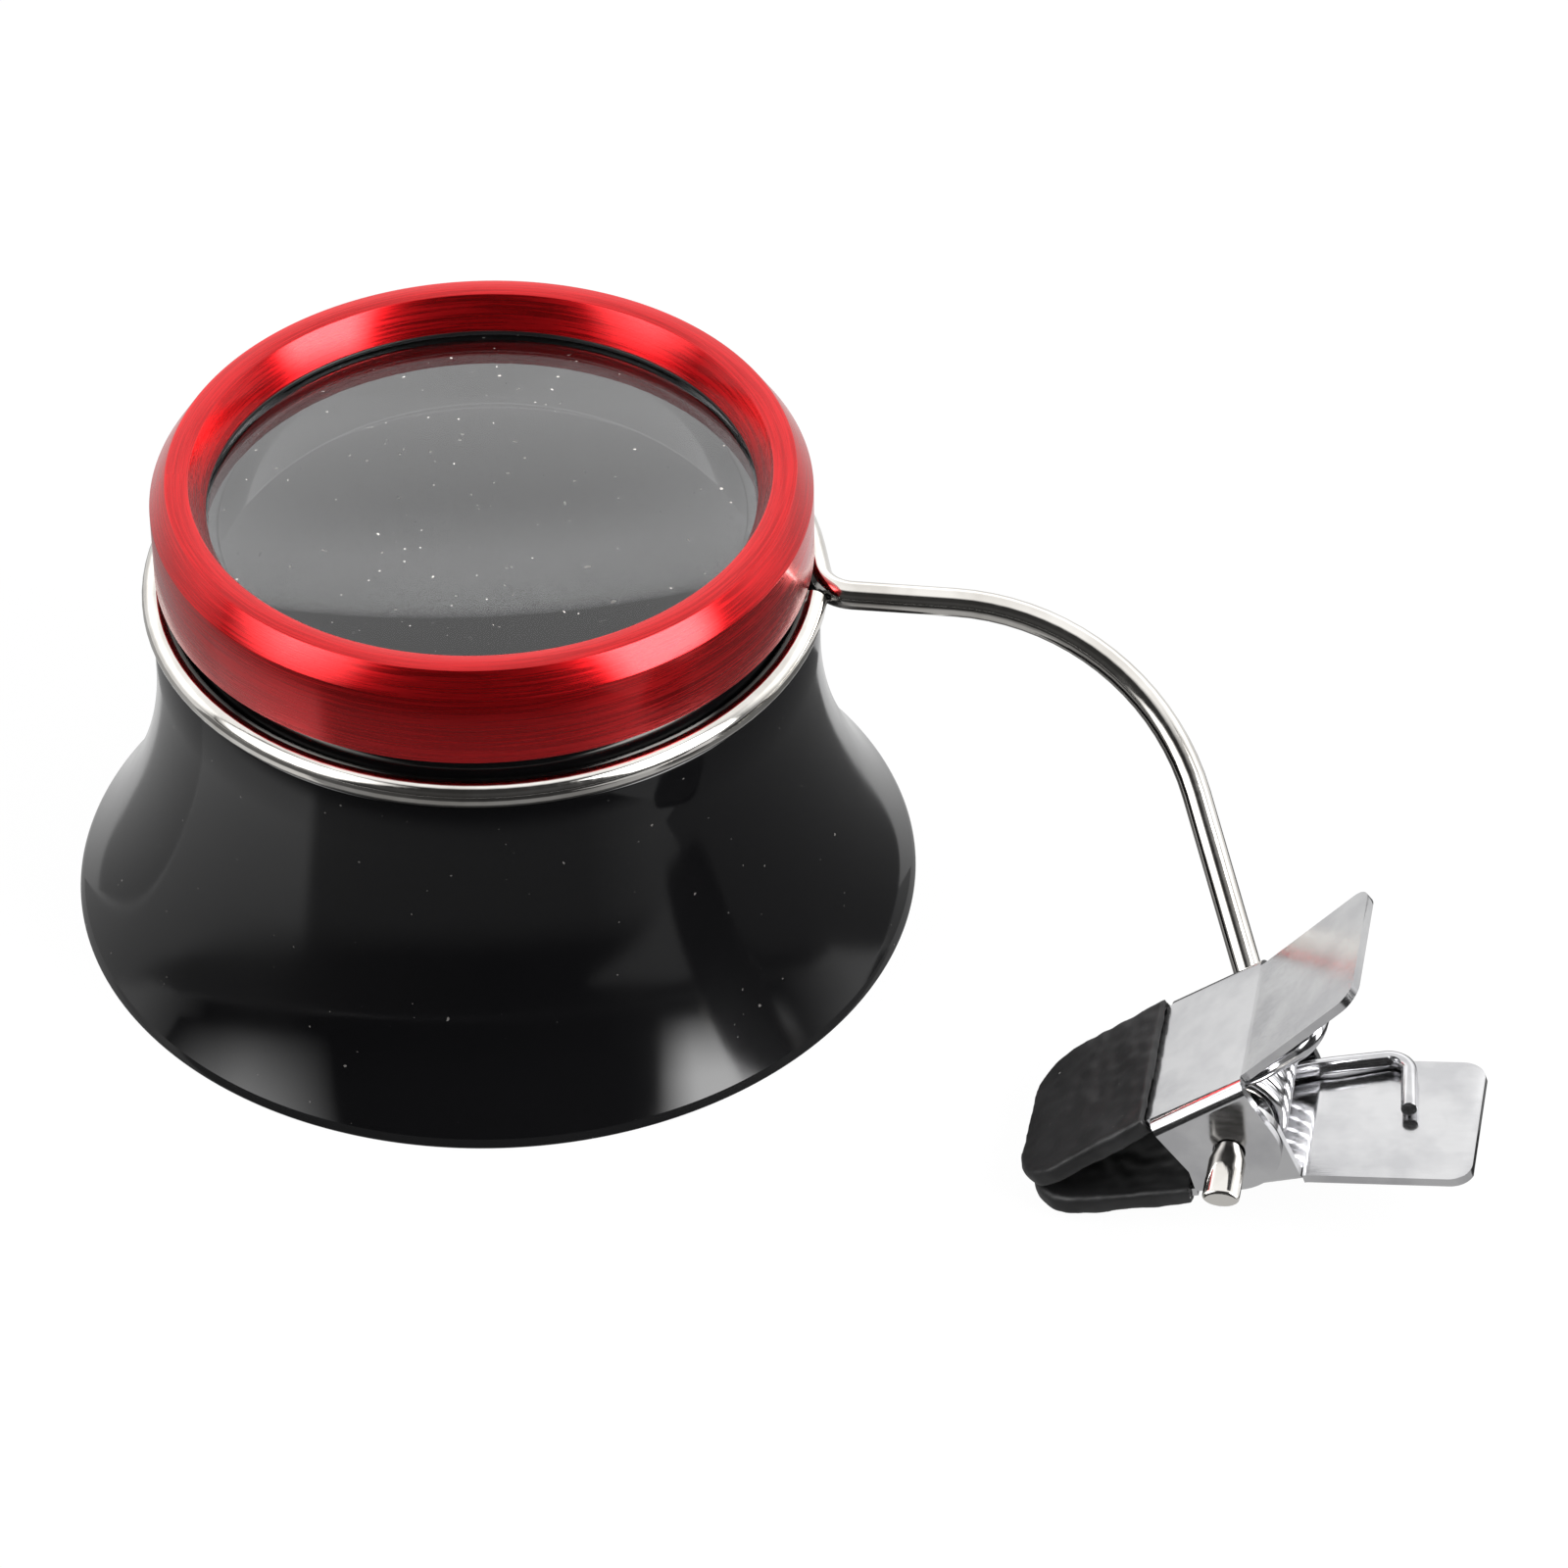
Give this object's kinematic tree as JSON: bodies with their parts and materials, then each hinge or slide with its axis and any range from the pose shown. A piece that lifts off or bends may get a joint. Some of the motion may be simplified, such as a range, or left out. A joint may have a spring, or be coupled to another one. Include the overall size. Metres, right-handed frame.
{
  "type": "clip-on eyeglass loupe",
  "caption": "Clip-on eyeglass loupe: a trumpet-shaped black eyecup with a lens under a red screwed ring, on a bent wire arm that ends in a sprung spectacle clip.",
  "frame": {"origin": "centre of the eyecup's wide rim, in the plane that the rim stands on", "axes": "+Z along the optical axis from the eye side to the lens, +X towards the clip, +Y away from the viewer of the picture"},
  "size_m": [0.0686, 0.0527, 0.0251],
  "materials": {
    "black_plastic": "moulded, glossy",
    "lens_glass": "polished",
    "gasket_rubber": "satin",
    "red_anodised": "turned and red anodised",
    "bright_wire": "drawn, bright plated",
    "nickel_sheet": "stamped, nickel plated, softly bright",
    "spring_wire": "drawn, nickel plated",
    "black_rubber": "matt"
  },
  "bodies": {
    "eyepiece": {"eyecup": "black_plastic", "lens": "lens_glass"},
    "gasket_ring": {"lens_gasket": "gasket_rubber"},
    "screw_ring": {"bezel": "red_anodised"},
    "wire": {"wire_arm": "bright_wire"},
    "upper_jaw": {"upper_lever": "nickel_sheet", "upper_sleeve": "black_rubber", "torsion_spring": "spring_wire"},
    "lower_jaw": {"lower_lever": "nickel_sheet", "lower_sleeve": "black_rubber"}
  },
  "joints": [
    {"name": "bezel_lift", "type": "slide", "parent": "eyepiece", "child": "gasket_ring", "axis": [0, 0, 1], "range_m": [0, 0.0022]},
    {"name": "bezel_turn", "type": "hinge", "parent": "gasket_ring", "child": "screw_ring", "pos_m": [0, 0, 0.0226], "axis": [0, 0, 1], "range_deg": [0, 1055]},
    {"name": "hoop_swivel", "type": "hinge", "parent": "eyepiece", "child": "wire", "pos_m": [0, 0, 0.0183], "axis": [0, 0, 1], "continuous": true},
    {"name": "clip_tilt", "type": "hinge", "parent": "wire", "child": "upper_jaw", "pos_m": [0.0358, -0.02361, 0.00603], "axis": [0.1736, 0.9848, 0], "continuous": true},
    {"name": "jaw_open", "type": "hinge", "parent": "upper_jaw", "child": "lower_jaw", "pos_m": [0.0358, -0.02361, 0.00603], "axis": [-0.1736, -0.9848, 0], "range_deg": [0, 45], "stiffness_Nm_per_rad": 0.02, "springref_deg": -42.97, "deforming": ["torsion_spring"]}
  ],
  "couplings": [
    {"joint": "bezel_lift", "follows": "bezel_turn", "m_per_rad": 0.00011937}
  ]
}
